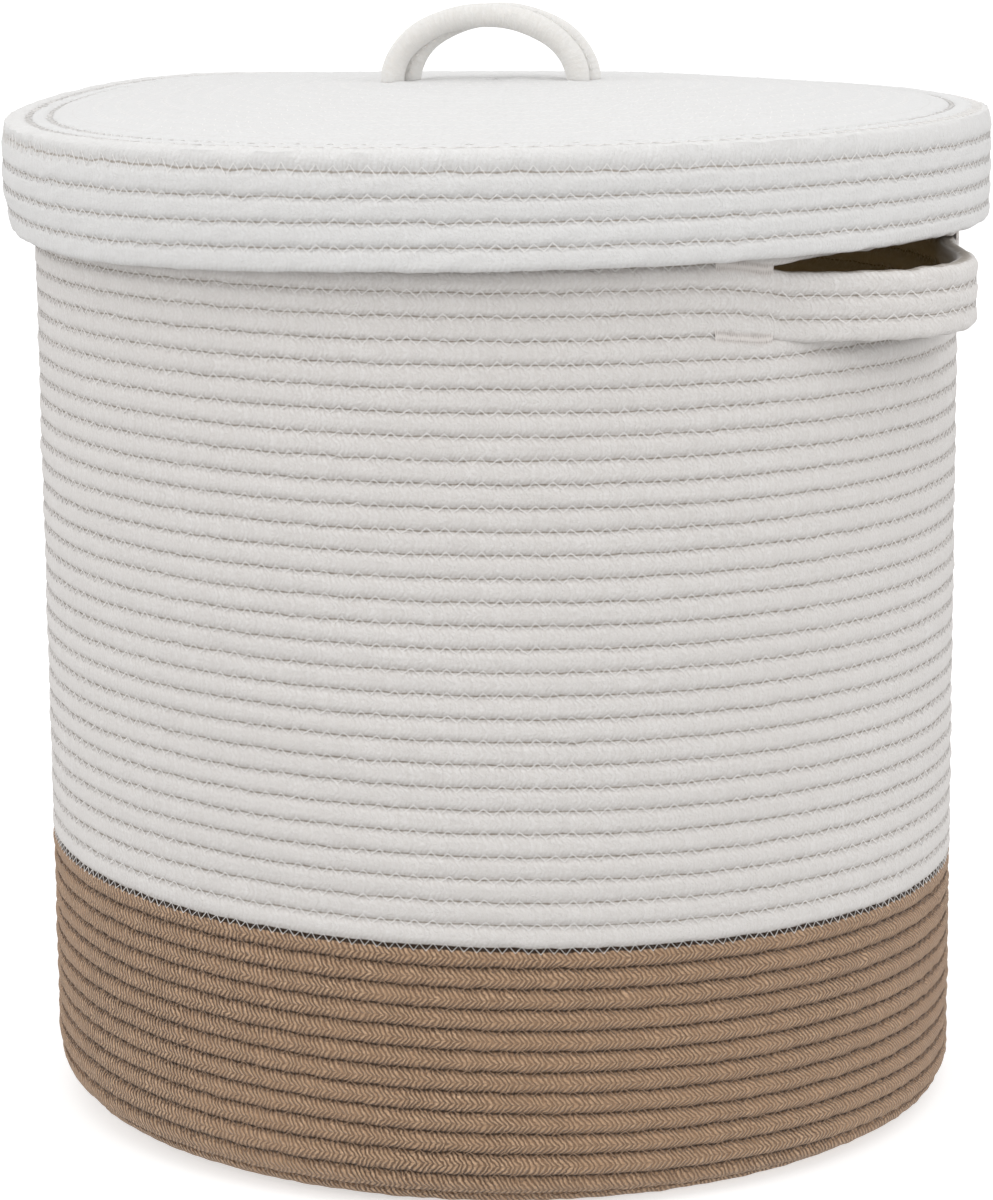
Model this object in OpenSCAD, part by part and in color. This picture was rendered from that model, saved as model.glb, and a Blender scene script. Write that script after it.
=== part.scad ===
// Round lidded laundry hamper, sewn from coiled cotton rope.
// Origin: centre of the underside. +Z up, the two side handles lie on -X and +X.

/* [Basket] */
// Outer radius of the wall
wall_r = 200; // [195:1:210]
// Height of the line where the brown rope changes to white
join_z = 111.5; // [100:0.5:125]
// Rows of white rope between the colour change and the handle level
plain_rows = 26; // [24:1:28]
// Rows of rope in a side handle
handle_rows = 3; // [2:1:4]
// Rows of rope above the handles, under the lid's skirt
collar_rows = 4; // [3:1:5]
// Centre-line radius of the bend between base and wall
corner_r = 15; // [10:1:22]

/* [Rope] */
// Half the thickness of the rope
rope_r = 4.9; // [4.7:0.1:5.2]
// Rise of one white row
white_pitch = 9.37; // [9:0.01:9.6]
// Spacing of the brown rows
brown_pitch = 8.7; // [8.4:0.05:9]
// Thickness of the sewn core that the rows share
core_t = 5; // [4:0.5:6]
// Half the thickness of the sewing thread
thread_r = 0.5; // [0.4:0.1:0.6]

/* [Side handles] */
// Half the angle that a handle takes up on the wall
handle_half_angle = 24; // [20:1:28]
// How far a handle stands out from the wall
handle_bow = 26; // [20:1:32]
// How far a handle sags in the middle
handle_sag = 8; // [4:1:10]

/* [Lid] */
// Outer radius of the skirt
lid_r = 213; // [211:1:216]
// Rows of rope in the skirt
skirt_rows = 5; // [4:1:5]
// Spacing of the skirt's rows
skirt_pitch = 9.5; // [9.3:0.05:9.6]
// How far the middle of the lid stands above its edge
dome_h = 12; // [8:1:16]
// Clearance between the lid and the rim
seat_gap = 0.4; // [0.3:0.1:1]

/* [Lid loop] */
// Half the width of the loop, along its centre line
loop_half_w = 42; // [36:1:48]
// Height of the loop's centre line above the lid
loop_h = 28; // [24:1:34]
// Direction of the loop, turned from +X
loop_turn = 26.5; // [0:0.5:90]
// Height of the loop's flex line above the lid
flex_h = 6; // [5:0.5:8]

/* [Hidden] */
$fn = 96;

white = "whitesmoke";
brown = "tan";
thread = "ivory";

centre_r = wall_r - rope_r;
base_z = rope_r;
first_brown_z = join_z - brown_pitch / 2;
straight_len = first_brown_z - base_z - corner_r;
corner_len = corner_r * PI / 2;
base_len = centre_r - corner_r - rope_r;
// The pitch is eased so that the last base row closes on the axis
brown_rows = round((straight_len + corner_len + base_len) / brown_pitch);
brown_step = (straight_len + corner_len + base_len) / brown_rows;
lower_rows = floor((straight_len + corner_len) / brown_step);
split_r = row_place(lower_rows + 0.5)[0];

handle_z = join_z + plain_rows * white_pitch;
collar_z = handle_z + handle_rows * white_pitch;
rim_z = collar_z + collar_rows * white_pitch;

lid_centre_r = lid_r - rope_r;
lid_edge_z = rim_z - white_pitch / 2 + rope_r + seat_gap + rope_r;
lid_steps = round((lid_centre_r - rope_r) / skirt_pitch);
lid_step = (lid_centre_r - rope_r - 0.05) / lid_steps;
lid_split_r = lid_centre_r - lid_step / 2;
lid_top_z = dome_z(loop_half_w) + rope_r;
handle_step = (handle_rows * white_pitch - 2 * rope_r - 0.1) / (handle_rows - 1);
strand_gap = rope_r + 0.05;
stub_h = 1.6;
foot_sink = 0.95;
strap_start = asin((flex_h + 2) / loop_h);

// How far a thread lies out from the centre line, in the groove between two rows
function seat(pitch) = 0.05 + max(core_t / 2 + thread_r,
    sqrt(pow(rope_r + thread_r, 2) - pow(pitch / 2, 2)));
// Centre of the rope a number of brown rows below the colour change
function row_place(k) = path_place(k * brown_step);
function path_place(s) =
    s < straight_len ? [centre_r, first_brown_z - s] :
    s < straight_len + corner_len ?
        let (a = (s - straight_len) / corner_r * 180 / PI)
        [centre_r - corner_r + corner_r * cos(a), base_z + corner_r - corner_r * sin(a)] :
    [centre_r - corner_r - (s - straight_len - corner_len), base_z];
// Outward normal of the same line
function path_normal(s) =
    let (a = 90 * min(1, max(0, (s - straight_len) / corner_len)))
    [cos(a), -sin(a)];
// Height of the lid's centre line, domed inside the rim
function dome_z(r) = lid_edge_z + (r < centre_r ? dome_h * (1 - pow(r / centre_r, 2)) : 0);
function dome_normal(r) =
    let (slope = r < centre_r ? 2 * dome_h * r / centre_r / centre_r : 0)
    [slope, 1] / norm([slope, 1]);

// Share of the full bow at an angle from a handle's middle
function bow_share(a) = pow(max(0, cos(90 * a / handle_half_angle)), 1.5);
function handle_place(a, z, out) =
    let (w = bow_share(a), r = centre_r + out + handle_bow * w)
    [r * cos(a), r * sin(a), z - handle_sag * pow(w, 3)];
function handle_row_z(k) =
    handle_z + handle_rows * white_pitch / 2 + (k - (handle_rows - 1) / 2) * handle_step;
function loop_place(t, depth, out) =
    [(loop_half_w + out) * cos(t), depth, lid_top_z + (loop_h + out) * sin(t)];

// Closed tube through a list of points; up is a direction that the path never takes
module tube(points, r, up, sides = 12) {
    n = len(points);
    verts = [
        for (i = [0 : n - 1])
            let (
                along = points[min(i + 1, n - 1)] - points[max(i - 1, 0)],
                side = cross(along, up) / norm(cross(along, up)),
                other = cross(side, along) / norm(cross(side, along))
            )
            for (j = [0 : sides - 1])
                points[i] + r * (cos(360 * j / sides) * side + sin(360 * j / sides) * other)
    ];
    skin = [
        for (i = [0 : n - 2], j = [0 : sides - 1])
            let (a = i * sides + j, b = i * sides + (j + 1) % sides)
            [a, b, b + sides, a + sides]
    ];
    first_cap = [[for (j = [0 : sides - 1]) sides - 1 - j]];
    last_cap = [[for (j = [0 : sides - 1]) (n - 1) * sides + j]];
    polyhedron(points = verts, faces = concat(skin, first_cap, last_cap));
}

// A ring of rope or thread
module hoop(r, z, thickness_r) {
    rotate_extrude() translate([r, z]) circle(r = thickness_r, $fn = 6);
}

// Section of a straight stack of rows between two heights
module stack_section(r, z, rows, pitch, open_top = false) {
    intersection() {
        union() {
            for (k = [0 : rows - 1])
                translate([r, z + (k + 0.5) * pitch]) circle(r = rope_r, $fn = 32);
            translate([r - core_t / 2, z]) square([core_t, (rows - 0.5) * pitch]);
            if (!open_top)
                translate([r - core_t / 2, z]) square([core_t, rows * pitch]);
        }
        translate([r - rope_r - 1, z])
            square([2 * rope_r + 2, rows * pitch + (open_top ? rope_r : 0)]);
    }
}

module base_coil() {
    color(brown) rotate_extrude() intersection() {
        union() {
            for (k = [lower_rows + 1 : brown_rows])
                translate(row_place(k)) circle(r = rope_r, $fn = 32);
            square([split_r, base_z + core_t / 2]);
        }
        square([split_r, 3 * rope_r]);
    }
}

// Half a turn of the wall, from a start angle
module half_turn(start) {
    rotate([0, 0, start]) rotate_extrude(angle = 180) children();
}

module lower_wall_section() {
    intersection() {
        union() {
            for (k = [0 : lower_rows])
                translate(row_place(k)) circle(r = rope_r, $fn = 32);
            translate([centre_r - core_t / 2, first_brown_z])
                square([core_t, brown_pitch / 2]);
        }
        translate([split_r, 0]) square([wall_r, join_z]);
    }
}

module lower_wall_front_coil() {
    color(brown) half_turn(180) lower_wall_section();
}

module lower_wall_back_coil() {
    color(brown) half_turn(0) lower_wall_section();
}

module base_thread() {
    color(thread) for (k = [lower_rows + 1 : brown_rows - 1])
        hoop(row_place(k + 0.5)[0], base_z + seat(brown_step), thread_r);
}

module lower_wall_thread() {
    color(thread) for (k = [0 : lower_rows - 1]) {
        s = (k + 0.5) * brown_step;
        place = path_place(s) + seat(brown_step) * path_normal(s);
        hoop(place[0], place[1], thread_r);
    }
}

module colour_join_thread() {
    color(thread) hoop(centre_r + seat(brown_pitch), join_z, thread_r);
}

module upper_wall_front_coil() {
    color(white) half_turn(180)
        stack_section(centre_r, join_z, plain_rows, white_pitch);
}

module upper_wall_back_coil() {
    color(white) half_turn(0)
        stack_section(centre_r, join_z, plain_rows, white_pitch);
}

module upper_wall_thread() {
    color(thread) for (k = [1 : plain_rows - 1])
        hoop(centre_r + seat(white_pitch), join_z + k * white_pitch, thread_r);
}

module band(start) {
    rotate([0, 0, start]) rotate_extrude(angle = 180 - 2 * handle_half_angle)
        stack_section(centre_r, handle_z, handle_rows, white_pitch);
}

module front_band_coil() {
    color(white) band(180 + handle_half_angle);
}

module back_band_coil() {
    color(white) band(handle_half_angle);
}

module band_thread() {
    color(thread) for (start = [handle_half_angle, 180 + handle_half_angle])
        rotate([0, 0, start]) for (k = [0 : handle_rows])
            rotate_extrude(angle = 180 - 2 * handle_half_angle)
                translate([centre_r + seat(white_pitch), handle_z + k * white_pitch])
                    circle(r = thread_r, $fn = 6);
}

module handle() {
    angles = [for (i = [-12 : 12]) i / 12 * handle_half_angle];
    for (k = [0 : handle_rows - 1])
        tube([for (a = angles) handle_place(a, handle_row_z(k), 0)],
            rope_r, [0, 0, 1], 12);
}

module handle_seams() {
    angles = [for (i = [-12 : 12]) i / 12 * (handle_half_angle - 0.5)];
    out = seat(handle_step) + 0.25;
    for (k = [1 : handle_rows - 1])
        tube([for (a = angles) handle_place(a, handle_row_z(k - 0.5), out)],
            thread_r, [0, 0, 1], 6);
}

module right_handle() {
    color(white) handle();
}

module left_handle() {
    color(white) rotate([0, 0, 180]) handle();
}

module right_handle_thread() {
    color(thread) handle_seams();
}

module left_handle_thread() {
    color(thread) rotate([0, 0, 180]) handle_seams();
}

// Upright stitches that lock the rows at both ends of each handle
module handle_bar_tacks() {
    tack_h = handle_rows * white_pitch - 2 * thread_r;
    color(thread) for (side = [0, 180], end = [-1, 1], n = [0 : 2])
        rotate([0, 0, side + end * (handle_half_angle + 0.7 + 0.5 * n)])
            translate([wall_r + thread_r + 0.05, 0, handle_z + thread_r])
                cylinder(r = thread_r, h = tack_h, $fn = 8);
}

module collar_coil() {
    color(white) rotate_extrude()
        stack_section(centre_r, collar_z, collar_rows, white_pitch, open_top = true);
}

module collar_thread() {
    color(thread) for (k = [1 : collar_rows - 1])
        hoop(centre_r + seat(white_pitch), collar_z + k * white_pitch, thread_r);
}

module lid_disc_coil() {
    steps = [for (i = [0 : 16]) lid_split_r * i / 16];
    under = [for (r = steps) [r, dome_z(r) - core_t / 2]];
    over = [for (i = [16 : -1 : 0]) [steps[i], dome_z(steps[i]) + core_t / 2]];
    color(white) rotate_extrude() intersection() {
        union() {
            for (k = [1 : lid_steps])
                let (r = lid_centre_r - k * lid_step)
                translate([r, dome_z(r)]) circle(r = rope_r, $fn = 32);
            polygon(concat(under, over));
        }
        square([lid_split_r, 2 * rim_z]);
    }
}

module lid_disc_thread() {
    color(thread) for (k = [1 : lid_steps - 1]) {
        r = lid_centre_r - (k + 0.5) * lid_step;
        place = [r, dome_z(r)] + seat(lid_step) * dome_normal(r);
        hoop(place[0], place[1] + 0.3, thread_r);
    }
}

module lid_skirt_coil() {
    lowest = lid_edge_z - (skirt_rows - 1) * skirt_pitch;
    color(white) rotate_extrude() intersection() {
        union() {
            for (k = [0 : skirt_rows - 1])
                translate([lid_centre_r, lid_edge_z - k * skirt_pitch])
                    circle(r = rope_r, $fn = 32);
            translate([lid_centre_r - core_t / 2, lowest])
                square([core_t, lid_edge_z - lowest]);
            translate([lid_split_r, lid_edge_z - core_t / 2])
                square([lid_step / 2, core_t]);
        }
        translate([lid_split_r, 0]) square([lid_r, 2 * rim_z]);
    }
}

module lid_skirt_thread() {
    color(thread) for (k = [0 : skirt_rows - 2])
        hoop(lid_centre_r + seat(skirt_pitch), lid_edge_z - (k + 0.5) * skirt_pitch, thread_r);
    color(thread) hoop(lid_split_r, lid_edge_z + seat(lid_step), thread_r);
}

// One rope of the lid's loop, between two angles of its half ellipse
module strand(depth, from, to, count) {
    tube([for (i = [0 : count]) loop_place(from + (to - from) * i / count, depth, 0)],
        rope_r, [0, 1, 0], 12);
}

// The sewn-down ends of the loop, standing on the lid's coil
module loop_feet() {
    color(white) rotate([0, 0, loop_turn]) difference() {
        for (side = [-1, 1], depth = [-strand_gap, strand_gap])
            translate([side * loop_half_w, depth, lid_top_z - foot_sink])
                cylinder(r = rope_r, h = foot_sink + stub_h, $fn = 32);
        lid_disc_coil();
    }
}

module loop_underside_stitches() {
    color(thread) rotate([0, 0, loop_turn]) for (side = [-1, 1], n = [-2 : 2])
        translate([side * loop_half_w + n * 1.6, -6, lid_top_z - 2 * rope_r - thread_r - 0.6])
            rotate([-90, 0, 0]) cylinder(r = thread_r, h = 12, $fn = 8);
}

module loop_front_strand() {
    color(white) rotate([0, 0, loop_turn])
        strand(-strand_gap, strap_start, 180 - strap_start, 24);
}

module loop_back_strand() {
    color(white) rotate([0, 0, loop_turn])
        strand(strand_gap, strap_start, 180 - strap_start, 24);
}

// Seams that hold the two strands together just above the feet
module loop_seam_thread() {
    out = sqrt(pow(rope_r + thread_r, 2) - pow(strand_gap, 2)) + 0.1;
    color(thread) rotate([0, 0, loop_turn])
        for (start = [strap_start, 180 - strap_start - 14], face = [-1, 1])
            tube([for (i = [0 : 5]) loop_place(start + 14 * i / 5, 0, face * out)],
                thread_r, [0, 1, 0], 6);
}

base_coil();
base_thread();
lower_wall_front_coil();
lower_wall_back_coil();
lower_wall_thread();
colour_join_thread();
upper_wall_front_coil();
upper_wall_back_coil();
upper_wall_thread();
front_band_coil();
back_band_coil();
band_thread();
right_handle();
left_handle();
right_handle_thread();
left_handle_thread();
handle_bar_tacks();
collar_coil();
collar_thread();
lid_disc_coil();
lid_disc_thread();
lid_skirt_coil();
lid_skirt_thread();
loop_feet();
loop_underside_stitches();
loop_front_strand();
loop_back_strand();
loop_seam_thread();
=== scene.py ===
import math

import bpy
import numpy as np
from mathutils import Matrix, Vector


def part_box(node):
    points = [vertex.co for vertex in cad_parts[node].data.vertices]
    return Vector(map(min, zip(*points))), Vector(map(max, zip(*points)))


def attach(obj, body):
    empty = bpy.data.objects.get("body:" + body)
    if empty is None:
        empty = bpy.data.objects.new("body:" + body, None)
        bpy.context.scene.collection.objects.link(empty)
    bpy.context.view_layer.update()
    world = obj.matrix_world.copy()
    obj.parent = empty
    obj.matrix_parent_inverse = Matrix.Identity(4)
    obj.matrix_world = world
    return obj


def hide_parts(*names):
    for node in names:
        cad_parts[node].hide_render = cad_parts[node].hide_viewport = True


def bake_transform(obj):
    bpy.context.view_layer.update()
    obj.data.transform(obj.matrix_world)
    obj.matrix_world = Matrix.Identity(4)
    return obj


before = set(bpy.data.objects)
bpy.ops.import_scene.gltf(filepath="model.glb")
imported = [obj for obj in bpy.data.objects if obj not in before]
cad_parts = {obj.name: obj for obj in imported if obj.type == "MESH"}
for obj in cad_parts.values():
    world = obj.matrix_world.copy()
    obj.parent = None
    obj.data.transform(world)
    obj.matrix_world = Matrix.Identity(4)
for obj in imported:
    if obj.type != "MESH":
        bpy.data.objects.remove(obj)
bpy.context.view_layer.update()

# A laundry hamper and its lid, each sewn from one coil of rope. Every shell is a spiral of rows.
# A place on it is given by phi, the angle from the front, and by v, the row count at that angle.
# Lengths are in millimetres until a mesh is made.

MM = 0.001
TAU = 2 * math.pi
TINY = 1e-9


# ---------------------------------------------------------------- sizes from the frame
def edges(node):
    """A node's lowest and highest corner."""
    low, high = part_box(node)
    return np.array(low) / MM, np.array(high) / MM


# Half the rope's thickness, and the radii and heights that its coils pass. CORNER is the radius
# of the bend between the base and the wall, and BOW is how far the side handles stand out.
ROPE = edges("base_coil")[1][2] / 2
CENTRE = edges("collar_coil")[1][0] - ROPE
CORNER = 15.0
JOIN_Z = edges("upper_wall_front_coil")[0][2]
HANDLE_Z = edges("front_band_coil")[0][2]
BOW = edges("right_handle")[1][0] - edges("collar_coil")[1][0]
LID_CENTRE = edges("lid_skirt_coil")[1][0] - ROPE
LID_EDGE_Z = edges("lid_skirt_coil")[1][2] - ROPE
DOME = edges("lid_disc_coil")[1][2] - LID_EDGE_Z - ROPE
LOOP_HIGH = edges("loop_front_strand")[1][2] - ROPE

# Rows of rope, counted from the middle of the base and from the middle of the lid.
BASE_ROWS = 21
BROWN_ROWS = 34
PLAIN_ROWS = 26
HANDLE_ROWS = 3
COLLAR_ROWS = 4
HANDLE_ROW = BROWN_ROWS + PLAIN_ROWS
COLLAR_ROW = HANDLE_ROW + HANDLE_ROWS
RIM_ROW = COLLAR_ROW + COLLAR_ROWS
LID_TOP_ROWS = 21
LID_CORNER_ROW = 21.5
LID_END_ROW = 26

# How far the centre line runs on from one row to the next.
FLAT = CENTRE - CORNER
JOIN_S = FLAT + CORNER * math.pi / 2 + JOIN_Z - ROPE - CORNER
BROWN_STEP = JOIN_S / BROWN_ROWS
WHITE_STEP = (HANDLE_Z - JOIN_Z) / PLAIN_ROWS
LID_START = 0.1
LID_STEP = (LID_CENTRE - LID_START) / LID_CORNER_ROW
SKIRT_STEP = 9.5
SKIRT_DEPTH = 4 * SKIRT_STEP

# ---------------------------------------------------------------- shapes read off the photo
# Half the thickness left in the groove between rows, and how square the rope's section is.
# The lid's top is pressed flatter than the walls.
WHITE_CORE = 3.2
WHITE_FLATNESS = 4.6
BROWN_CORE = 2.5
BROWN_FLATNESS = 2.6
LID_CORE = 4.68
LID_CORE_ROW = LID_CORNER_ROW - 0.3
LID_CORE_FADE = 2.5

# The rows wander less inside this radius.
WANDER_R = 100

# What is left of the row at the rope's end, and the angles over which it narrows down to that
# and over which an open edge closes.
END_HEIGHT = 0.06
END_ANGLE = 0.35
CLOSE_ANGLE = 0.06
WINDOW_ANGLE = 0.04

# The side handles, and the tacks that draw the rows down at their ends. The last three lines
# are in rows.
HANDLE_HALF = math.radians(22.9)
HANDLE_SAG = 5.9
BOW_POWER = 1.5
SAG_POWER = 5
TACK_LONG = math.radians(7.4)
TACK_OVERLAP = 0.005
TACK_PULL = 3.0
TACK_SPREAD = math.radians(5)
PULLED_BELOW = 2
PULL_FADE_BELOW = 2.5
PULL_FADE_ABOVE = 1.5

# The soft basket leans and settles to the right, and its base lifts a little at the left. The
# names that end in Z are the heights over which this comes or goes.
LEAN = 4.4
LEAN_Z = 80
SETTLE = 3.5
SETTLE_FROM_Z = 8
SETTLE_TO_Z = 60
LIFT = 3.0
LIFT_Z = 40

# The soft lid's rises and drops, with their places and widths in degrees from the front.
LID_TILT = 1.3
RIM_RAISE = 7.3
RAISE_AT = -133
RAISE_WIDE = 32
SKIRT_DROP = 4.0
DROP_AT = -52
DROP_WIDE = 30
DROP_AT_EDGE = 0.25
HEM_IN = 2.8
HEM_AT = -90
HEM_WIDE = 55
HEM_ROW = 23.5
HEM_FADE = 2.5

# The loop on the lid: its half ellipse, and how its two strands differ.
LOOP_TURN = math.radians(26.5)
LOOP_RISE = 28.0
LOOP_HALF = 39.8
LOOP_OFFSET = -1.5
STRAND_OFFSET = 2.5
STRAND_NARROWER = 0.6
STRAND_PRESSED = 0.7
LOOP_END_ANGLE = 0.16

# ---------------------------------------------------------------- camera, in metres and radians
CAMERA_SIDE = math.radians(34.5)
CAMERA_FAR = 1.675
CAMERA_HIGH = 0.5517
CAMERA_PITCH = 0.19941
CAMERA_ROLL = -0.00828
CAMERA_LENS = 115.401
CAMERA_SENSOR = 36.0
CAMERA_SHIFT = -0.0028333
FRONT = CAMERA_SIDE - math.pi / 2


def make_camera():
    data = bpy.data.cameras.new("camera")
    data.sensor_fit = "VERTICAL"
    data.sensor_height = CAMERA_SENSOR
    data.lens = CAMERA_LENS
    data.shift_x = CAMERA_SHIFT
    data.clip_end = 100
    cam = bpy.data.objects.new("camera", data)
    bpy.context.scene.collection.objects.link(cam)
    right = CAMERA_FAR * math.sin(CAMERA_SIDE)
    forward = -CAMERA_FAR * math.cos(CAMERA_SIDE)
    cam.location = (right, forward, CAMERA_HIGH)
    cam.rotation_mode = "XYZ"
    cam.rotation_euler = (math.pi / 2 - CAMERA_PITCH, 0, CAMERA_SIDE)
    bpy.context.view_layer.update()
    turn = cam.matrix_world.to_3x3() @ Matrix.Rotation(CAMERA_ROLL, 3, "Z")
    cam.rotation_euler = turn.to_euler("XYZ")
    bpy.context.scene.camera = cam


# ---------------------------------------------------------------- the coiled shell
def smooth(x):
    """A soft step from 0 to 1."""
    x = np.clip(x, 0, 1)
    return x * x * (3 - 2 * x)


def waves(phi, v, seed, count, size, fastest=9, steepest=0.45):
    """Gentle irregularity that closes round the turn and runs on along the rope."""
    rng = np.random.default_rng(seed)
    total = 0
    for k in range(count):
        turns = int(rng.integers(1, fastest))
        along = rng.uniform(0.1, steepest)
        start = rng.uniform(0, TAU)
        total = total + np.sin(turns * phi + TAU * along * v + start)
    return size * total / count


def bump(phi, at, wide):
    """A smooth rise round the turn, centred at one angle, with both angles in degrees."""
    away = np.mod(phi - math.radians(at) + math.pi, TAU) - math.pi
    return np.exp(-(away / math.radians(wide)) ** 2)


def from_seam(phi, leftward):
    """Angle from the seam at the back, counted from its left side or from its right side."""
    return phi + math.pi if leftward else math.pi - phi


def side_angle(theta):
    """Angle from the nearer side handle's middle."""
    return np.mod(theta + math.pi / 2, math.pi) - math.pi / 2


def bow_shape(theta):
    """How far the handle rows stand out, drop and slope at theta."""
    part = side_angle(theta) / HANDLE_HALF
    inside = np.abs(part) < 1
    angle = math.pi / 2 * np.clip(part, -1, 1)
    c = np.maximum(np.where(inside, np.cos(angle), 0), 0)
    s = np.where(inside, np.sin(angle), 0)
    slope = -BOW * BOW_POWER * c ** (BOW_POWER - 1) * s * math.pi / 2 / HANDLE_HALF
    sag = HANDLE_SAG * (1 - np.minimum(np.abs(part), 1) ** SAG_POWER)
    return BOW * c ** BOW_POWER, sag, slope


class Coil:
    """The rows of one rope. hand is the way it winds, and limit is the row that ends it."""

    hand = -1
    bowed = False
    limit = None

    def level(self, phi, v):
        """The row count reached at phi, with the last row kept under the limit."""
        climb = self.hand * phi / TAU
        reach = v + climb
        if self.limit is not None:
            first = self.limit - 1 + climb
            end = np.minimum(first + 1, self.limit)
            full = smooth(from_seam(phi, self.hand < 0) / END_ANGLE)
            end = first + (end - first) * (END_HEIGHT + (1 - END_HEIGHT) * full)
            part = np.clip(v - (self.limit - 1), 0, 1)
            reach = np.where(v > self.limit - 1, first + part * (end - first), reach)
        return reach + waves(phi, reach, seed=11, count=14, size=0.10, fastest=110, steepest=0.9)

    def half(self, phi, v, first, last, open_first, open_last):
        """Half the thickness at v. It narrows between rows and closes where an end row is open."""
        core = self.core(v) * np.ones(np.broadcast(phi, v).shape)
        core = np.where(v < first + 0.5, core * (1 - self.opening(phi, open_first, True)), core)
        core = np.where(v > last - 0.5, core * (1 - self.opening(phi, open_last, False)), core)
        reach = self.level(phi, v)
        uneven = waves(phi, reach, seed=23, count=16, size=0.16, fastest=140, steepest=1.4)
        return np.maximum(self.round_part(v) * (1 + uneven), core)

    def round_part(self, v):
        part = v - np.floor(v)
        return ROPE * np.sqrt(np.maximum(1 - np.abs(2 * part - 1) ** self.flatness(v), 0))

    def flatness(self, v):
        return WHITE_FLATNESS

    def core(self, v):
        return WHITE_CORE

    def opening(self, phi, kind, at_first):
        """1 where an end row is open to the air and 0 where it is sewn to the next one."""
        if kind == "free":
            return smooth(from_seam(phi, (self.hand < 0) == at_first) / CLOSE_ANGLE)
        if kind == "window":
            return smooth((HANDLE_HALF - np.abs(side_angle(FRONT + phi))) / WINDOW_ANGLE)
        return 0.0

    def place(self, phi, v, out):
        """The point at distance out from the centre line, on the outer side if out is above 0."""
        theta = FRONT + phi
        reach = self.level(phi, v)
        r, z, nr, nz = self.path(reach)
        spread, drop, slope = bow_shape(theta) if self.bowed else (0, 0, 0)
        uneven = waves(phi, reach, seed=5, count=5, size=0.35) * np.minimum(r / WANDER_R, 1)
        r = r + spread + uneven
        z = z - drop - self.pull(theta, reach)
        turn = np.arctan2(slope, r)
        outward = r + out * nr * np.cos(turn)
        sideways = out * nr * np.sin(turn)
        x = outward * np.cos(theta) + sideways * np.sin(theta)
        y = outward * np.sin(theta) - sideways * np.cos(theta)
        x, y, z = self.press(x, y, z + out * nz, phi, reach, out)
        return np.stack([x, y, z + self.lean(z, phi, r)], -1)

    def pull(self, theta, reach):
        return 0.0

    def press(self, x, y, z, phi, reach, out):
        return x, y, z

    def lean(self, z, phi, r):
        return 0.0


class Basket(Coil):
    limit = RIM_ROW

    def flatness(self, v):
        return np.where(v < BROWN_ROWS, BROWN_FLATNESS, WHITE_FLATNESS)

    def core(self, v):
        return np.where(v < BROWN_ROWS, BROWN_CORE, WHITE_CORE)

    def level(self, phi, v):
        return np.maximum(super().level(phi, v), 0)

    def path(self, reach):
        """The centre line's radius and height, and the direction that points out of the shell."""
        white_s = JOIN_S + (reach - BROWN_ROWS) * WHITE_STEP
        s = np.where(reach < BROWN_ROWS, reach * BROWN_STEP, white_s)
        a = np.clip((s - FLAT) / CORNER, 0, math.pi / 2)
        rise = np.maximum(s - FLAT - CORNER * math.pi / 2, 0)
        r = np.minimum(s, FLAT) + CORNER * np.sin(a)
        z = ROPE + CORNER * (1 - np.cos(a)) + rise
        return r, z, np.sin(a), -np.cos(a)

    def pull(self, theta, reach):
        """How far the tacks at the handles' ends draw the rows down."""
        along = (np.abs(side_angle(theta)) - HANDLE_HALF) / TACK_SPREAD
        below = smooth((reach - HANDLE_ROW + PULLED_BELOW) / PULL_FADE_BELOW)
        above = smooth((COLLAR_ROW + PULL_FADE_ABOVE - reach) / PULL_FADE_ABOVE)
        return TACK_PULL * np.exp(-along ** 2) * below * above

    def press(self, x, y, z, phi, reach, out):
        """Keeps the base on the floor."""
        return x, y, np.maximum(z, 0)

    def lean(self, z, phi, r):
        size = z / LEAN_Z
        side = np.sin(phi) * np.minimum(r / CENTRE, 1) ** 3
        lean = -LEAN * size * np.exp(1 - size) * side
        settled = SETTLE * (1 - np.exp(-z / SETTLE_FROM_Z)) * np.exp(-z / SETTLE_TO_Z)
        settle = -settled * np.maximum(side, 0)
        lift = LIFT * np.exp(-z / LIFT_Z) * np.maximum(-side, 0)
        return lean + settle + lift


class HandleRows(Basket):
    bowed = True


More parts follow.
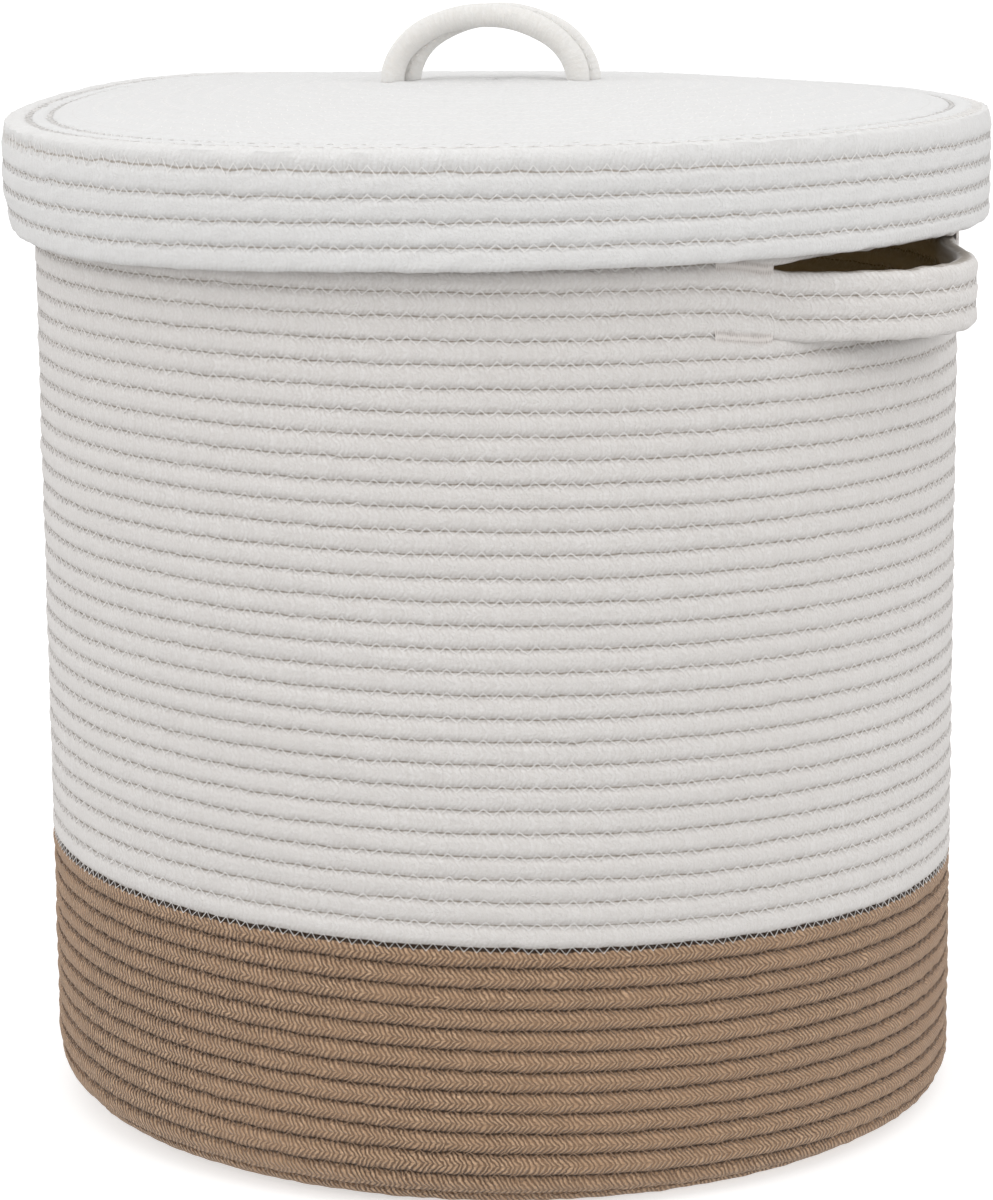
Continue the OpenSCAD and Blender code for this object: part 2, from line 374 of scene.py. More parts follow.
class Lid(Coil):
    hand = 1
    limit = LID_END_ROW

    def core(self, v):
        pressed = smooth((LID_CORE_ROW - v) / LID_CORE_FADE)
        return WHITE_CORE + (LID_CORE - WHITE_CORE) * pressed

    def level(self, phi, v):
        return np.maximum(super().level(phi, v), 0)

    def path(self, reach):
        """The centre line's radius and height, and the direction that points out of the shell."""
        skirt_s = LID_CENTRE + (reach - LID_CORNER_ROW) * SKIRT_STEP
        s = np.where(reach < LID_CORNER_ROW, LID_START + reach * LID_STEP, skirt_s)
        r = np.minimum(s, LID_CENTRE)
        down = np.maximum(s - LID_CENTRE, 0)
        rise = np.where(r < CENTRE, DOME * (1 - (r / CENTRE) ** 2), 0)
        slope = np.where(r < CENTRE, 2 * DOME * r / CENTRE ** 2, 0)
        tilt = np.arctan(slope)
        corner = np.clip((s - LID_CENTRE + ROPE) / (2 * ROPE), 0, 1) * math.pi / 2
        angle = np.maximum(tilt * (s < LID_CENTRE), corner)
        return r, LID_EDGE_Z + rise - down, np.sin(angle), np.cos(angle)

    def press(self, x, y, z, phi, reach, out):
        """Keeps the inner face from folding over at the corner, and draws the hem in."""
        inside = (out < 0) & (reach > LID_CORNER_ROW - 1)
        on_top = inside & (reach < LID_CORNER_ROW)
        on_skirt = inside & (reach >= LID_CORNER_ROW)
        inner_r = LID_CENTRE - np.abs(out)
        inner_z = LID_EDGE_Z - np.abs(out)
        r = np.hypot(x, y)
        near = np.where(on_top, np.minimum(r, inner_r), np.where(on_skirt, inner_r, r))
        z = np.where(on_skirt, np.minimum(z, inner_z), z)
        z = np.where(on_top, np.maximum(inner_z, z), z)
        near = near - HEM_IN * bump(phi, HEM_AT, HEM_WIDE) * smooth((reach - HEM_ROW) / HEM_FADE)
        scale = np.where(r > TINY, near / np.maximum(r, TINY), 1)
        return x * scale, y * scale, z

    def lean(self, z, phi, r):
        """The lid stands up at its back left and hangs lower at its front left."""
        rim = np.minimum(r / LID_CENTRE, 1)
        down = np.clip((LID_EDGE_Z - z) / SKIRT_DEPTH, 0, 1)
        raised = RIM_RAISE * bump(phi, RAISE_AT, RAISE_WIDE) * rim ** 2
        share = DROP_AT_EDGE + (1 - DROP_AT_EDGE) * down
        hanging = SKIRT_DROP * bump(phi, DROP_AT, DROP_WIDE) * share * rim ** 2
        return LID_TILT * np.sin(phi) * rim + raised - hanging


# ---------------------------------------------------------------- meshes
# Grid steps in a millimetre: points that fall on the same one are merged.
MERGE_GRID = 2000


def merged(verts):
    """The points with those that meet made one, and each old point's new number."""
    key = np.round(verts * MERGE_GRID).astype(np.int64)
    _, keep, back = np.unique(key, axis=0, return_index=True, return_inverse=True)
    return verts[keep], back.reshape(-1)


def clean_quads(idx, block_uv):
    """Quads as they are, and as triangles where one side has closed up. Flat ones are dropped."""
    same = [idx[:, i] == idx[:, (i + 1) % 4] for i in range(4)]
    crossed = (idx[:, 0] == idx[:, 2]) | (idx[:, 1] == idx[:, 3])
    closed = np.sum(same, axis=0)
    good = (closed == 0) & ~crossed
    blocks = [(idx[good], block_uv[good])]
    for i in range(4):
        pick = (closed == 1) & same[i] & ~crossed
        cols = [j for j in range(4) if j != i]
        blocks.append((idx[pick][:, cols], block_uv[pick][:, cols]))
    return blocks


def clean_caps(idx, block_uv):
    """Faces with any number of corners, without the corners that repeat."""
    blocks = []
    for row, row_uv in zip(idx, block_uv):
        stay = [j for j in range(len(row)) if row[j] != row[j - 1]]
        if len(set(row[stay])) == len(stay) and len(stay) > 2:
            blocks.append((row[stay][None, :], row_uv[stay][None, :]))
    return blocks


def make_mesh(name, verts, faces, uvs, material, sharp=50):
    """Builds an object from points in millimetres. The map "rope" holds length along it and row."""
    points, number = merged(np.asarray(verts))
    blocks = []
    for block, block_uv in zip(faces, uvs):
        clean = clean_quads if block.shape[1] == 4 else clean_caps
        blocks += clean(number[block], block_uv)
    loops = np.concatenate([corners.reshape(-1) for corners, _ in blocks])
    sizes = np.concatenate([np.full(len(corners), corners.shape[1]) for corners, _ in blocks])
    flat = np.concatenate([block_uv.reshape(-1, 2) for _, block_uv in blocks])
    starts = np.concatenate([[0], np.cumsum(sizes)[:-1]])
    mesh = bpy.data.meshes.new(name)
    mesh.vertices.add(len(points))
    mesh.vertices.foreach_set("co", (points * MM).reshape(-1))
    mesh.loops.add(len(loops))
    mesh.loops.foreach_set("vertex_index", loops.astype(np.int32))
    mesh.polygons.add(len(sizes))
    mesh.polygons.foreach_set("loop_start", starts.astype(np.int32))
    mesh.polygons.foreach_set("use_smooth", np.ones(len(sizes), bool))
    mesh.update(calc_edges=True)
    layer = mesh.uv_layers.new(name="rope")
    layer.data.foreach_set("uv", flat.reshape(-1).astype(np.float32))
    mesh.validate()
    mesh.set_sharp_from_angle(angle=math.radians(sharp))
    mesh.materials.append(material)
    obj = bpy.data.objects.new(name, mesh)
    bpy.context.scene.collection.objects.link(obj)
    return obj


def row_parts(*near):
    """The parts of a row at which a skin has points, the same from both of its edges."""
    return (0,) + near + tuple(1 - part for part in reversed(near))


FINE = row_parts(0.03, 0.08, 0.16, 0.28, 0.42)
PLAIN = row_parts(0.03, 0.09, 0.20, 0.38)
INNER = row_parts(0.07, 0.3)
END_STEP = 0.01
SMALLEST_TURN = 3.0


def row_samples(first, last, parts):
    values = [row + part for row in range(first, last) for part in parts]
    values += [last, first + END_STEP, last - END_STEP]
    return np.unique(np.round(values, 6))


def rope_radius(coil, v):
    """The radius at row v, kept from vanishing in the middle of a spiral."""
    return np.maximum(coil.path(np.maximum(v, 0.5))[0], SMALLEST_TURN)


def shell_face(coil, phi, v, start, side):
    """The point numbers, quads and map coordinates of one face of a skin."""
    index = start + np.arange(len(v) * len(phi)).reshape(len(v), len(phi))
    quad = np.stack([index[:-1, :-1], index[:-1, 1:], index[1:, 1:], index[1:, :-1]], -1)
    middle = (v[:-1] + v[1:]) / 2
    turn_r = rope_radius(coil, np.floor(middle) + 0.5)
    left = turn_r[:, None] * phi[None, :-1]
    right = turn_r[:, None] * phi[None, 1:]
    low = np.broadcast_to(v[:-1, None], left.shape)
    high = np.broadcast_to(v[1:, None], left.shape)
    corners = ((left, low), (right, low), (right, high), (left, high))
    uv = np.stack([np.stack(corner, -1) for corner in corners], -2)
    if (side > 0) == (coil.hand > 0):
        quad = quad[..., ::-1]
        uv = uv[..., ::-1, :]
    return index, quad.reshape(-1, 4), uv.reshape(-1, 4, 2)


def edge_strips(coil, outer, inner):
    """The narrow faces that join the outer and inner faces along the first and last row."""
    strips = []
    for edge in (0, -1):
        corners = (outer[edge, :-1], outer[edge, 1:], inner[edge, 1:], inner[edge, :-1])
        strip = np.stack(corners, -1)
        strips.append(strip[:, ::-1] if (edge == 0) == (coil.hand < 0) else strip)
    return strips


def rope_ends(coil, grids, first, last):
    """The cut faces of the rope at its start and at its end, both on the seam."""
    ends = []
    for column in (0, -1):
        low = first if (column == -1) == (coil.hand < 0) else last - 1
        sides = [index[(v >= low - TINY) & (v <= low + 1 + TINY), column] for v, index in grids]
        ring = np.concatenate([sides[0], sides[1][::-1]])
        ring = ring[::-1] if (column == 0) == (coil.hand < 0) else ring
        ends.append(ring[None, :])
    return ends


def skin(coil, name, first, last, columns, material, parts=FINE, open_first=None, open_last=None):
    """The closed skin of rows first to last: an outer face, an inner face and the rope's ends."""
    phi = np.linspace(-math.pi, math.pi, columns + 1)
    verts = []
    faces = []
    uvs = []
    grids = []
    start = 0
    for side, row_steps in ((1, parts), (-1, INNER)):
        v = row_samples(first, last, row_steps)
        grid_phi, grid_v = np.meshgrid(phi, v)
        inside_v = np.clip(grid_v, first + TINY, last - TINY)
        half = coil.half(grid_phi, inside_v, first, last, open_first, open_last)
        verts.append(coil.place(grid_phi, grid_v, side * half).reshape(-1, 3))
        index, quads, quad_uvs = shell_face(coil, phi, v, start, side)
        start += index.size
        faces.append(quads)
        uvs.append(quad_uvs)
        grids.append((v, index))
    closing = edge_strips(coil, grids[0][1], grids[1][1]) + rope_ends(coil, grids, first, last)
    faces += closing
    uvs += [np.zeros(block.shape + (2,)) for block in closing]
    return make_mesh(name, np.concatenate(verts), faces, uvs, material)


def tube(points, normals, radius, sides):
    """Vertices, faces and map coordinates of a closed tube through points."""
    along = np.gradient(points, axis=0)
    along /= np.linalg.norm(along, axis=1, keepdims=True)
    side = np.cross(along, normals)
    side /= np.maximum(np.linalg.norm(side, axis=1, keepdims=True), TINY)
    up = np.cross(side, along)
    angle = np.arange(sides) * TAU / sides + math.pi / sides
    radius = np.broadcast_to(np.asarray(radius, float), (len(points),))
    ring = (np.cos(angle)[None, :, None] * up[:, None, :]
            + np.sin(angle)[None, :, None] * side[:, None, :]) * radius[:, None, None]
    verts = (points[:, None, :] + ring).reshape(-1, 3)
    index = np.arange(len(verts)).reshape(len(points), sides)
    beside = np.roll(index, -1, axis=1)
    quads = np.stack([index[:-1], beside[:-1], beside[1:], index[1:]], -1).reshape(-1, 4)
    steps = np.linalg.norm(np.diff(points, axis=0), axis=1)
    length = np.concatenate([[0], np.cumsum(steps)])
    around = np.arange(sides + 1) / sides
    corners = ((length[:-1], around[:-1]), (length[:-1], around[1:]),
               (length[1:], around[1:]), (length[1:], around[:-1]))
    uv = np.stack([np.stack(np.meshgrid(*pair, indexing="ij"), -1) for pair in corners], -2)
    caps = np.stack([index[0][::-1], index[-1]])
    return verts, [quads, caps], [uv.reshape(-1, 4, 2), np.zeros(caps.shape + (2,))]


def zigzag(coil, grooves, side, angles, period, reach, radius, sides, shift=0.0, lift=0.0):
    """The sewing thread that runs along grooves, from one row to the other and back."""
    low, high = angles
    parts = []
    for groove in grooves:
        turn_r = max(float(rope_radius(coil, np.array([groove]))[0]), 2 * SMALLEST_TURN)
        legs = 2 * max(int(round((high - low) * turn_r / period)), FEWEST_STITCHES)
        steps = 2 if period < reach else 1
        t = np.arange(steps * legs + 1) / steps
        sign = 2 * np.abs(t % 2 - 1) - 1
        pitch = BROWN_STEP if coil.hand < 0 and groove < BROWN_ROWS else WHITE_STEP
        rng = np.random.default_rng(int(groove * 7 + 3))
        uneven = 1 + rng.uniform(-REACH_VARIES, REACH_VARIES, len(t))
        v = groove + (sign * reach * uneven + shift) / pitch
        phi = low + (high - low) * t / legs
        phi = phi + rng.uniform(-STEP_VARIES, STEP_VARIES, len(t)) * period / turn_r
        tip = groove + (np.where(sign < 0, -1, 1) * reach + shift) / pitch
        out = np.maximum(coil.round_part(tip), coil.core(tip)) - THREAD_SUNK + lift
        points = coil.place(phi, v, side * out)
        normals = coil.place(phi, v, side * (out + 1)) - points
        parts.append(tube(points, normals, radius, sides))
    return parts


def thread_piece(name, parts, material):
    """One object from many tubes."""
    verts = []
    faces = []
    uvs = []
    start = 0
    for part_verts, part_faces, part_uvs in parts:
        verts.append(part_verts)
        faces += [face + start for face in part_faces]
        uvs += part_uvs
        start += len(part_verts)
    return make_mesh(name, np.concatenate(verts), faces, uvs, material, sharp=80)


# How far all thread sinks into the rope, how much its stitches vary, and the kinds of stitch:
# the zigzag's period, its reach to each side, the thread's radius and how far it is lifted.
THREAD_SUNK = 0.12
REACH_VARIES = 0.12
STEP_VARIES = 0.06
FEWEST_STITCHES = 4
SEAM = dict(period=6.9, reach=1.5, radius=0.25, sides=3)
PROUD_SEAM = dict(SEAM, lift=0.06)
JOIN_SEAM = dict(period=5.0, reach=1.5, radius=0.2, sides=4, shift=-0.7, lift=0.1)
BAR_TACK = dict(period=0.8, reach=3.2, radius=0.3, sides=4, lift=-0.18)
FULL_TURN = (-math.pi, math.pi)


def sew(coil, name, grooves, stitch, material, stretches=(FULL_TURN,)):
    """The thread in some grooves, on the inner and the outer face."""
    parts = []
    for side in (-1, 1):
        for angles in stretches:
            parts += zigzag(coil, grooves, side, angles, **stitch)
    return thread_piece(name, parts, material)


# ---------------------------------------------------------------- materials
class Nodes:
    """A small helper that adds and joins shader nodes."""

    def __init__(self, material):
        material.use_nodes = True
        self.tree = material.node_tree
        self.tree.nodes.clear()

    def add(self, kind, **values):
        node = self.tree.nodes.new(kind)
        for key, value in values.items():
            if hasattr(node, key):
                setattr(node, key, value)
            else:
                node.inputs[key].default_value = value
        return node

    def link(self, a, b):
        self.tree.links.new(a, b)

    def math(self, operation, *operands):
        node = self.tree.nodes.new("ShaderNodeMath")
        node.operation = operation
        for socket, value in zip(node.inputs, operands):
            if isinstance(value, (int, float)):
                socket.default_value = value
            else:
                self.link(value, socket)
        return node.outputs[0]

    def times(self, a, b):
        return self.math("MULTIPLY", a, b)

    def plus(self, a, b, share=None):
        """a and b, or a and a share of b."""
        return self.math("ADD", a, b if share is None else self.times(b, share))

    def ramp(self, factor, low, high):
        node = self.add("ShaderNodeMapRange", interpolation_type="SMOOTHSTEP")
        node.inputs["From Min"].default_value = low
        node.inputs["From Max"].default_value = high
        self.link(factor, node.inputs["Value"])
        return node.outputs["Result"]

    def mix(self, factor, a, b):
        node = self.add("ShaderNodeMix", data_type="RGBA")
        for socket, value in ((node.inputs[0], factor), (node.inputs[6], a), (node.inputs[7], b)):
            if isinstance(value, tuple):
                socket.default_value = value + (1,)
            else:
                self.link(value, socket)
        return node.outputs[2]

    def noise(self, vector, scale, detail, rough=0.5):
        node = self.add("ShaderNodeTexNoise", Scale=scale, Detail=detail, Roughness=rough)
        self.link(vector, node.inputs["Vector"])
        return node.outputs["Fac"]

    def place(self):
        """The place on the object, in metres."""
        return self.add("ShaderNodeTexCoord").outputs["Object"]

    def rope_map(self):
        """Length along the rope, and the row count."""
        uv = self.add("ShaderNodeUVMap", uv_map="rope")
        parts = self.add("ShaderNodeSeparateXYZ")
        self.link(uv.outputs[0], parts.inputs[0])
        return parts.outputs["X"], parts.outputs["Y"]

    def saw(self, value):
        """Half at the whole numbers and 0 midway between them."""
        return self.math("ABSOLUTE", self.math("SUBTRACT", self.math("FRACT", value), 0.5))

    def surface(self, colour, rough, height, strength, distance, sheen):
        """Ends the tree in a principled shader that has a bump from height."""
        bump_node = self.add("ShaderNodeBump", Strength=strength, Distance=distance)
        self.link(height, bump_node.inputs["Height"])
        shader = self.add("ShaderNodeBsdfPrincipled")
        shader.inputs["Sheen Weight"].default_value = sheen
        self.link(rough, shader.inputs["Roughness"])
        self.link(colour, shader.inputs["Base Color"])
        self.link(bump_node.outputs[0], shader.inputs["Normal"])
        out = self.add("ShaderNodeOutputMaterial")
        self.link(shader.outputs[0], out.inputs[0])
        return shader


def braid_phase(n, length, off, period, slant):
    """Counts strands along the rope. slant makes them chevrons, and noise makes them uneven."""
    place = n.place()
    wobble = n.plus(n.times(n.noise(place, scale=210, detail=2), 1.1),
                    n.noise(place, scale=55, detail=1), 1.6)
    wobble = n.plus(wobble, n.noise(place, scale=800, detail=2), 0.7)
    phase = n.plus(n.math("DIVIDE", length, period), off, slant)
    return n.plus(phase, wobble)


def braid_strand(n, phase, off, edge):
    """1 on the strands and 0 between them, a little lower along the row's middle line."""
    strand = n.ramp(n.saw(phase), edge, 0.12)
    spine = n.plus(n.times(n.ramp(off, 0.0, 0.06), 0.3), 0.7)
    return n.times(strand, spine)


def braid_hair(n, phase, off, row):
    """Fibres that run along the strands, different in each row."""
    along = n.add("ShaderNodeCombineXYZ")
    n.link(n.times(phase, 2.6), along.inputs[0])
    n.link(n.times(off, 5.0), along.inputs[1])
    n.link(n.times(n.math("FLOOR", row), 7.3), along.inputs[2])
    return n.noise(along.outputs[0], scale=1.0, detail=3, rough=0.65)


def rope_material(name, light, body, gap_shade, crease_shade, period, slant, contrast, middle, relief, fuzz,
                  glow=0.0, crease_shade_width=0.05, edge=0.5, join_shade_row=None):
    """Braided cotton rope: chevron strands with painted shade between them, fibres, slow drift, and
    painted shade in the crease between rows.
    """
    material = bpy.data.materials.new(name)
    n = Nodes(material)
    length, row = n.rope_map()
    off = n.saw(row)
    phase = braid_phase(n, length, off, period, slant)
    strand = braid_strand(n, phase, off, edge)
    hair = braid_hair(n, phase, off, row)
    place = n.place()
    fibre = n.noise(place, scale=1900, detail=3, rough=0.7)
    fleck = n.noise(place, scale=620, detail=2, rough=0.6)
    patch = n.noise(place, scale=70, detail=3, rough=0.6)
    drift = n.noise(place, scale=9, detail=2, rough=0.5)

    clear = n.plus(n.times(n.ramp(off, 0.08, 0.40), 1.0 - middle), middle)
    # Painted shade: between the strands and in the fibre gaps the colour is darkened toward the gap
    # colour as if shadowed.
    between = n.times(n.times(n.math("SUBTRACT", 1.0, strand), contrast), clear)
    fibre_gap_shade = n.times(n.ramp(fibre, 0.45, 0.8), 0.35 * contrast + 0.05)
    colour = n.mix(n.ramp(hair, 0.35, 0.7), body, light)
    colour = n.mix(between, colour, gap_shade)
    colour = n.mix(fibre_gap_shade, colour, gap_shade)
    colour = n.mix(n.times(n.ramp(patch, 0.35, 0.75), 0.35), colour, body)
    colour = n.mix(n.times(n.ramp(drift, 0.3, 0.7), 0.4), colour, body)
    # Painted shade: seam is the crease between rows, where the colour is darkened toward the crease
    # colour as if shadowed.
    ragged = n.plus(off, n.math("SUBTRACT", fleck, 0.5), 0.10)
    seam = n.ramp(ragged, 0.5 - crease_shade_width, 0.5)
    colour = n.mix(n.times(seam, 0.9), colour, crease_shade)
    # Painted shade: the top edge of the last brown row, under the white rope, takes the crease
    # colour as if shadowed.
    if join_shade_row is not None:
        ragged_join_shade = n.plus(row, fleck, 0.06)
        colour = n.mix(n.ramp(ragged_join_shade, join_shade_row - 0.17, join_shade_row - 0.12), colour, crease_shade)

    height = n.times(n.times(strand, clear), relief)
    height = n.plus(height, hair, fuzz)
    height = n.plus(height, fibre, fuzz * 0.5)
    height = n.plus(height, fleck, fuzz)
    rough = n.plus(n.times(fleck, 0.12), 0.82)
    shader = n.surface(colour, rough, height, strength=1.0, distance=MM, sheen=0.2)
    shader.inputs["Sheen Roughness"].default_value = 0.5
    shader.inputs["Specular IOR Level"].default_value = 0.2
    shader.inputs["Subsurface Weight"].default_value = glow
    shader.inputs["Subsurface Radius"].default_value = (1.0, 0.95, 0.9)
    shader.inputs["Subsurface Scale"].default_value = 6 * MM
    return material


def thread_material(name, light, dark):
    """Twisted sewing thread."""
    material = bpy.data.materials.new(name)
    n = Nodes(material)
    length, around = n.rope_map()
    ply = n.saw(n.plus(n.times(length, 1.6), around))
    fibre = n.noise(n.place(), scale=3000, detail=2, rough=0.6)
    colour = n.mix(n.ramp(ply, 0.5, 0.25), dark, light)
    colour = n.mix(n.times(fibre, 0.3), colour, dark)
    rough = n.plus(n.times(fibre, 0.2), 0.6)
    n.surface(colour, rough, ply, strength=0.6, distance=0.1 * MM, sheen=0.15)
    return material


# In each rope the gap and crease colours are painted shade, between the strands and in the creases
# between rows. The lid top's crease shade is paler.
WHITE_ROPE = rope_material(
    "white_cotton_rope", light=(0.82, 0.80, 0.785), body=(0.715, 0.685, 0.66),
    gap_shade=(0.52, 0.475, 0.44), crease_shade=(0.33, 0.285, 0.235),
    period=2.2, slant=2.4, contrast=0.34, middle=0.25, relief=0.10, fuzz=0.55)
LID_ROPE = rope_material(
    "lid_cotton_rope", light=(0.79, 0.785, 0.78), body=(0.725, 0.715, 0.705),
    gap_shade=(0.58, 0.55, 0.525), crease_shade=(0.38, 0.33, 0.28),
    period=2.2, slant=2.4, contrast=0.30, middle=0.25, relief=0.08, fuzz=0.46)
LID_TOP_ROPE = rope_material(
    "lid_top_cotton_rope", light=(0.74, 0.74, 0.74), body=(0.69, 0.685, 0.68),
    gap_shade=(0.62, 0.60, 0.58), crease_shade=(0.67, 0.66, 0.65),
    period=2.2, slant=2.4, contrast=0.15, middle=0.4, relief=0.05, fuzz=0.30)
LOOP_ROPE = rope_material(
    "loop_cotton_rope", light=(0.76, 0.75, 0.735), body=(0.70, 0.685, 0.66),
    gap_shade=(0.62, 0.60, 0.57), crease_shade=(0.70, 0.68, 0.65),
    period=2.2, slant=0.6, contrast=0.15, middle=0.5, relief=0.05, fuzz=0.30, glow=0.6)
BROWN_ROPE = rope_material(
    "brown_cotton_rope", light=(0.73, 0.50, 0.325), body=(0.47, 0.295, 0.18),
    gap_shade=(0.085, 0.043, 0.021), crease_shade=(0.050, 0.026, 0.013),
    period=2.1, slant=3.4, contrast=1.0, middle=0.85, relief=0.85, fuzz=0.5,
    crease_shade_width=0.10, edge=0.47, join_shade_row=BROWN_ROWS)
WHITE_THREAD = thread_material("white_sewing_thread", (0.90, 0.885, 0.87), (0.76, 0.74, 0.72))
TACK_THREAD = thread_material("bar_tack_thread", (0.73, 0.69, 0.66), (0.62, 0.575, 0.545))
BROWN_THREAD = thread_material("brown_sewing_thread", (0.34, 0.22, 0.14), (0.16, 0.10, 0.06))


# ---------------------------------------------------------------- the pieces
BASKET = Basket()
HANDLES = HandleRows()
LID = Lid()


def keep(obj, body, slot, *nodes):
    """Hangs a piece on a body in the place of CAD nodes, which it hides. slot is not used."""
    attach(obj, body)
    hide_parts(*nodes)
    return obj


def build_basket():
    base = skin(BASKET, "base", -1, BASE_ROWS, 300, BROWN_ROPE, parts=INNER)
    keep(base, "basket", "brown_rope", "base_coil")
    lower = skin(BASKET, "lower_wall", BASE_ROWS, BROWN_ROWS, 420, BROWN_ROPE)
    keep(lower, "basket", "brown_rope", "lower_wall_front_coil", "lower_wall_back_coil")
    upper = skin(BASKET, "upper_wall", BROWN_ROWS, HANDLE_ROW, 260, WHITE_ROPE, parts=PLAIN,
                 open_last="window")
    keep(upper, "basket", "white_rope", "upper_wall_front_coil", "upper_wall_back_coil")
    handles = skin(HANDLES, "handle_rows", HANDLE_ROW, COLLAR_ROW, 420, WHITE_ROPE,
                   open_first="window", open_last="window")
    keep(handles, "basket", "white_rope", "front_band_coil", "back_band_coil",
         "right_handle", "left_handle")
    collar = skin(BASKET, "collar", COLLAR_ROW, RIM_ROW, 300, WHITE_ROPE,
                  open_first="window", open_last="free")
    keep(collar, "basket", "white_rope", "collar_coil")


def handle_middles():
    """Where the two side handles stand, as angles from the front."""
    return [math.remainder(theta - FRONT, TAU) for theta in (0, math.pi)]


def band_angles():
    """The stretches of the handle rows that stay on the wall."""
    left, right = sorted(handle_middles())
    return [(-math.pi, left - HANDLE_HALF), (left + HANDLE_HALF, right - HANDLE_HALF),
            (right + HANDLE_HALF, math.pi)]


def tack_angles():
    """The dense stitching that locks the rows at both ends of each handle."""
    stretches = []
    for middle in handle_middles():
        start = middle - HANDLE_HALF
        end = middle + HANDLE_HALF
        stretches.append((start - TACK_LONG, start + TACK_OVERLAP))
        stretches.append((end - TACK_OVERLAP, end + TACK_LONG))
    return stretches


def build_basket_threads():
    base = sew(BASKET, "base_stitches", range(1, BASE_ROWS), SEAM, BROWN_THREAD)
    keep(base, "basket", "brown_thread", "base_thread")
    lower = sew(BASKET, "lower_wall_stitches", range(BASE_ROWS, BROWN_ROWS), SEAM, BROWN_THREAD)
    keep(lower, "basket", "brown_thread", "lower_wall_thread")
    join = sew(BASKET, "colour_join_stitches", [BROWN_ROWS], JOIN_SEAM, WHITE_THREAD)
    keep(join, "basket", "white_thread", "colour_join_thread")
    upper = sew(BASKET, "upper_wall_stitches", range(BROWN_ROWS + 1, HANDLE_ROW), PROUD_SEAM,
                WHITE_THREAD)
    keep(upper, "basket", "white_thread", "upper_wall_thread")
    handles = sew(HANDLES, "handle_row_stitches", range(HANDLE_ROW + 1, COLLAR_ROW), PROUD_SEAM,
                  WHITE_THREAD)
    keep(handles, "basket", "white_thread", "right_handle_thread", "left_handle_thread")
    band_edges = (HANDLE_ROW, COLLAR_ROW)
    band = sew(BASKET, "band_edge_stitches", band_edges, PROUD_SEAM, WHITE_THREAD, band_angles())
    keep(band, "basket", "white_thread", "band_thread")
    tacks = sew(BASKET, "handle_bar_tacks", band_edges, BAR_TACK, TACK_THREAD, tack_angles())
    keep(tacks, "basket", "white_thread", "handle_bar_tacks")
    collar = sew(BASKET, "collar_stitches", range(COLLAR_ROW + 1, RIM_ROW), SEAM, WHITE_THREAD)
    keep(collar, "basket", "white_thread", "collar_thread")


def build_lid():
    top = skin(LID, "lid_top", -1, LID_TOP_ROWS, 300, LID_TOP_ROPE, parts=PLAIN)
    keep(top, "lid", "white_rope", "lid_disc_coil")
    skirt = skin(LID, "lid_skirt", LID_TOP_ROWS, LID_END_ROW, 420, LID_ROPE, open_last="free")
    keep(skirt, "lid", "white_rope", "lid_skirt_coil")
    top_thread = sew(LID, "lid_top_stitches", range(1, LID_TOP_ROWS), SEAM, WHITE_THREAD)
    keep(top_thread, "lid", "white_thread", "lid_disc_thread", "loop_underside_stitches")
    skirt_grooves = range(LID_TOP_ROWS, LID_END_ROW)
    skirt_thread = sew(LID, "lid_skirt_stitches", skirt_grooves, PROUD_SEAM, WHITE_THREAD)
    keep(skirt_thread, "lid", "white_thread", "lid_skirt_thread")


def loop_point(t, across, out):
    """A point at angle t of the loop. across is -1 on the front strand and 1 on the back one."""
    half_w = LOOP_HALF - STRAND_NARROWER * across
    along = LOOP_OFFSET + STRAND_OFFSET * across + (half_w + out) * np.cos(t)
    depth = across * (ROPE - STRAND_PRESSED)
    z = LOOP_HIGH - LOOP_RISE + (LOOP_RISE + out) * np.sin(t)
    return np.stack([along * math.cos(LOOP_TURN) - depth * math.sin(LOOP_TURN),
                     along * math.sin(LOOP_TURN) + depth * math.cos(LOOP_TURN), z], -1)


def loop_strand(name, across):
    """One rope of the loop, a little uneven in thickness."""
    t = np.linspace(-LOOP_END_ANGLE, math.pi + LOOP_END_ANGLE, 90)
    points = loop_point(t, across, 0)
    normals = loop_point(t, across, 1) - points
    plump = 1.03 + 0.02 * np.sin(9 * t + across)
    verts, faces, uvs = tube(points, normals, ROPE * plump, sides=26)
    return make_mesh(name, verts, faces, uvs, LOOP_ROPE)


def loop_seam(name):
    """The zigzag between the two strands, above them and below."""
    stitches = 40
    end_gap = 0.10
    reach = 0.34
    out_at_middle = 4.0
    out_at_tip = 4.25
    parts = []
    for face in (-1, 1):
        t = np.linspace(end_gap, math.pi - end_gap, 2 * stitches + 1)
        k = np.arange(len(t))
        at_middle = k % 2 == 1
        across = np.where(at_middle, 0, np.where(k % 4 == 0, reach, -reach))
        out = face * np.where(at_middle, out_at_middle, out_at_tip)
        points = loop_point(t, across, out)
        normals = loop_point(t, across, out + face) - points
        parts.append(tube(points, normals, 0.28, sides=4))
    return thread_piece(name, parts, WHITE_THREAD)


def build_loop():
    """Two ropes side by side, bent over in a half ellipse on the lid and sewn to each other."""
    front = loop_strand("loop_front_rope", -1)
    back = loop_strand("loop_back_rope", 1)
    seam = loop_seam("loop_seam_stitches")
    for obj, slot, nodes in ((front, "white_rope", ("loop_front_strand", "loop_feet")),
                             (back, "white_rope", ("loop_back_strand",)),
                             (seam, "white_thread", ("loop_seam_thread",))):
        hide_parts(*nodes)
        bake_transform(obj)


# ---------------------------------------------------------------- floor and light, in metres
SKY_HIGH = 0.95
SKY_LOW = 0.70
FLOOR_HALF = 30.0
FLOOR_GREY = 0.62
FLOOR_GLOW = 0.56
MIDDLE = (0, 0, 0.2)
TOP_POWER = 7
SIDE_POWER = 20
INNER_POWER = 0.06
INNER_COLOUR = (1.0, 0.68, 0.25)


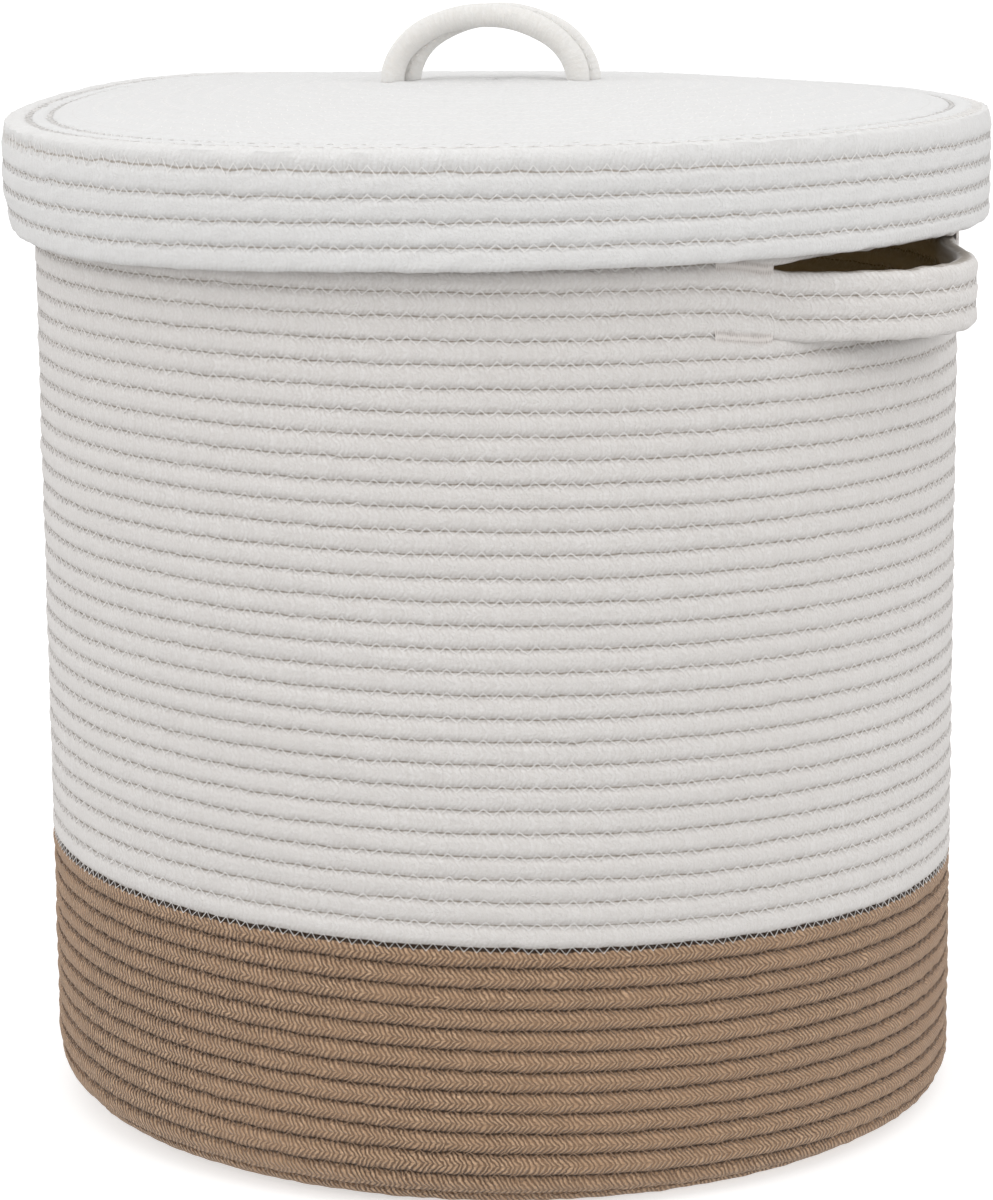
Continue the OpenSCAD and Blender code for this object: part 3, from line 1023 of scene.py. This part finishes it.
def floor_material():
    material = bpy.data.materials.new("pale_floor")
    n = Nodes(material)
    shader = n.add("ShaderNodeBsdfPrincipled")
    shader.inputs["Base Color"].default_value = (FLOOR_GREY, FLOOR_GREY, FLOOR_GREY, 1)
    shader.inputs["Roughness"].default_value = 0.9
    shader.inputs["Emission Color"].default_value = (1, 1, 1, 1)
    shader.inputs["Emission Strength"].default_value = FLOOR_GLOW
    out = n.add("ShaderNodeOutputMaterial")
    n.link(shader.outputs[0], out.inputs[0])
    return material


def build_floor():
    half = FLOOR_HALF
    corners = [(-half, -half, 0), (half, -half, 0), (half, half, 0), (-half, half, 0)]
    mesh = bpy.data.meshes.new("floor")
    mesh.from_pydata(corners, [], [(0, 1, 2, 3)])
    mesh.materials.append(floor_material())
    obj = bpy.data.objects.new("floor", mesh)
    bpy.context.scene.collection.objects.link(obj)
    obj.visible_diffuse = False


def studio_world():
    """Even white light, a little stronger from above than from below."""
    world = bpy.data.worlds.new("studio")
    bpy.context.scene.world = world
    world.use_nodes = True
    tree = world.node_tree
    background = tree.nodes["Background"]
    background.inputs["Color"].default_value = (1, 1, 1, 1)
    coord = tree.nodes.new("ShaderNodeTexCoord")
    parts = tree.nodes.new("ShaderNodeSeparateXYZ")
    fade = tree.nodes.new("ShaderNodeMapRange")
    fade.interpolation_type = "SMOOTHSTEP"
    fade.inputs["From Min"].default_value = -0.5
    fade.inputs["From Max"].default_value = 0.5
    fade.inputs["To Min"].default_value = SKY_LOW
    fade.inputs["To Max"].default_value = SKY_HIGH
    tree.links.new(coord.outputs["Generated"], parts.inputs[0])
    tree.links.new(parts.outputs["Z"], fade.inputs["Value"])
    tree.links.new(fade.outputs["Result"], background.inputs["Strength"])


def add_light(name, place, size, power):
    """A round soft light that is aimed at the middle of the hamper."""
    data = bpy.data.lights.new(name, "AREA")
    data.shape = "DISK"
    data.size = size
    data.energy = power
    light = bpy.data.objects.new(name, data)
    light.location = place
    aim = Vector(MIDDLE) - Vector(place)
    light.rotation_euler = aim.to_track_quat("-Z", "Y").to_euler()
    bpy.context.scene.collection.objects.link(light)


def add_inner_glow():
    """The little warm light that comes through the cotton into the closed basket."""
    data = bpy.data.lights.new("inner_glow", "POINT")
    data.color = INNER_COLOUR
    data.energy = INNER_POWER
    data.shadow_soft_size = 0.05
    light = bpy.data.objects.new("inner_glow", data)
    light.location = MIDDLE
    light.visible_camera = False
    bpy.context.scene.collection.objects.link(light)


def build_stage():
    build_floor()
    studio_world()
    add_light("top_light", place=(0.3, -0.6, 2.4), size=2.2, power=TOP_POWER)
    add_light("right_light", place=(3.0, -0.4, 1.6), size=2.0, power=SIDE_POWER)
    add_light("left_light", place=(-1.6, -2.6, 1.6), size=2.0, power=SIDE_POWER)
    add_inner_glow()


make_camera()
bpy.context.scene.view_settings.view_transform = "Standard"
build_stage()
build_basket()
build_basket_threads()
build_lid()
build_loop()
